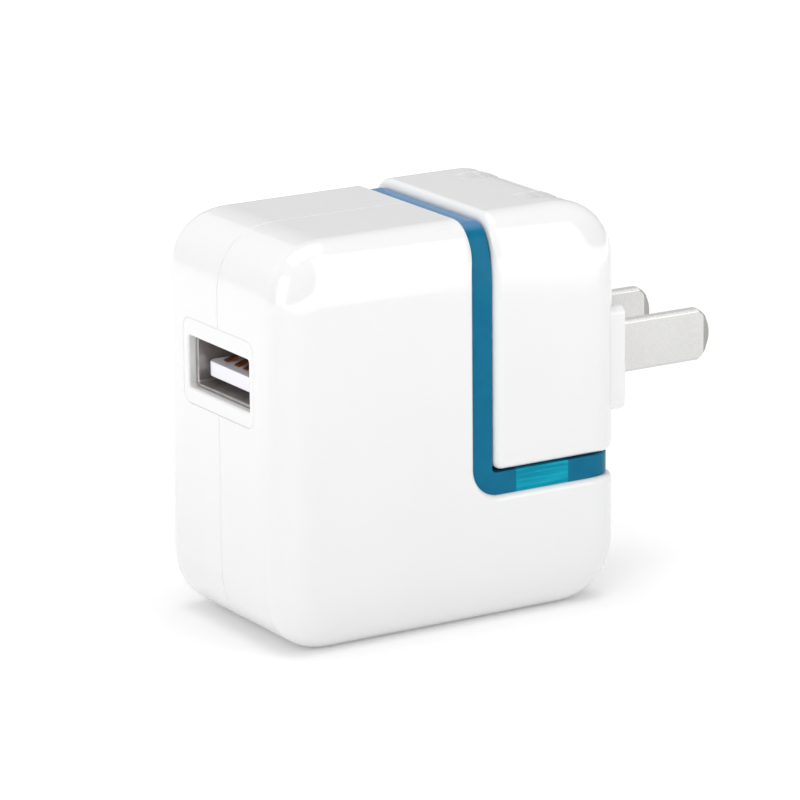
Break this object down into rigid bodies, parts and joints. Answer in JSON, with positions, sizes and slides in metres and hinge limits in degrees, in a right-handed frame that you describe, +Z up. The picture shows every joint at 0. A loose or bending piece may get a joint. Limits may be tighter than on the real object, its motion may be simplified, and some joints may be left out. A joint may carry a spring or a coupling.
{
  "type": "usb wall charger",
  "caption": "Compact white USB wall charger with a lift-off plug head, fold-up flat blades and a translucent blue L-shaped light guide.",
  "frame": {"origin": "centre of the flat underside of the casing, on the surface it stands on", "axes": "+X out of the wall plug (back), -X is the USB port's face, +Z up, the casing's two halves meet at Y = 0"},
  "size_m": [0.0641, 0.028, 0.0488],
  "materials": {
    "casing_white": "high gloss",
    "guide_blue": "clear, polished",
    "port_steel": "drawn sheet",
    "tongue_white": "smooth",
    "contact_copper": "plated",
    "board_green": "solder mask",
    "ferrite": "sintered",
    "tape_yellow": "polyester tape",
    "moulding_black": "moulded",
    "capacitor_black": "shrink sleeve",
    "capacitor_violet": "shrink sleeve",
    "disc_blue": "dipped",
    "winding_copper": "enamelled wire",
    "fuse_ceramic": "ceramic tube",
    "led_clear": "clear epoxy",
    "inlet_white": "satin",
    "pin_nickel": "nickel plated",
    "lead_red": "insulation",
    "stud_steel": "plated",
    "cover_white": "fine texture",
    "brass_sleeve": "bright",
    "spring_steel": "rolled",
    "rotor_white": "satin",
    "blade_nickel": "satin nickel"
  },
  "bodies": {
    "charger": {"near_shell": "casing_white", "far_shell": "casing_white", "port_panel": "casing_white", "light_guide": "guide_blue", "usb_shell": "port_steel", "usb_tongue": "tongue_white", "usb_contacts": "contact_copper", "port_board": "board_green", "board_link": "moulding_black", "main_board": "board_green", "transformer_core": "ferrite", "transformer_winding": "tape_yellow", "transformer_bobbin": "moulding_black", "bulk_capacitors": "capacitor_black", "output_capacitors": "capacitor_violet", "disc_capacitor": "disc_blue", "line_choke": "winding_copper", "fuse": "fuse_ceramic", "bridge_rectifier": "moulding_black", "controller_chip": "moulding_black", "output_diode": "moulding_black", "optocoupler": "moulding_black", "indicator_led": "led_clear", "inlet_socket": "inlet_white", "inlet_pins": "pin_nickel", "inlet_leads": "lead_red", "lock_stud": "stud_steel", "stud_nut": "stud_steel"},
    "plug_head": {"head_shell": "casing_white", "head_cover": "cover_white", "head_connector": "cover_white", "connector_sleeves": "brass_sleeve", "blade_contacts": "brass_sleeve", "stud_clip": "spring_steel", "fold_spring": "spring_steel"},
    "blades": {"blade_rotor": "rotor_white", "blade_near": "blade_nickel", "blade_far": "blade_nickel"}
  },
  "joints": [
    {"name": "head_slide", "type": "slide", "parent": "charger", "child": "plug_head", "axis": [0, 0, 1], "range_m": [0, 0.042]},
    {"name": "blade_fold", "type": "hinge", "parent": "plug_head", "child": "blades", "pos_m": [0.0197, 0, 0.027], "axis": [0, -1, 0], "range_deg": [0, 90]}
  ]
}
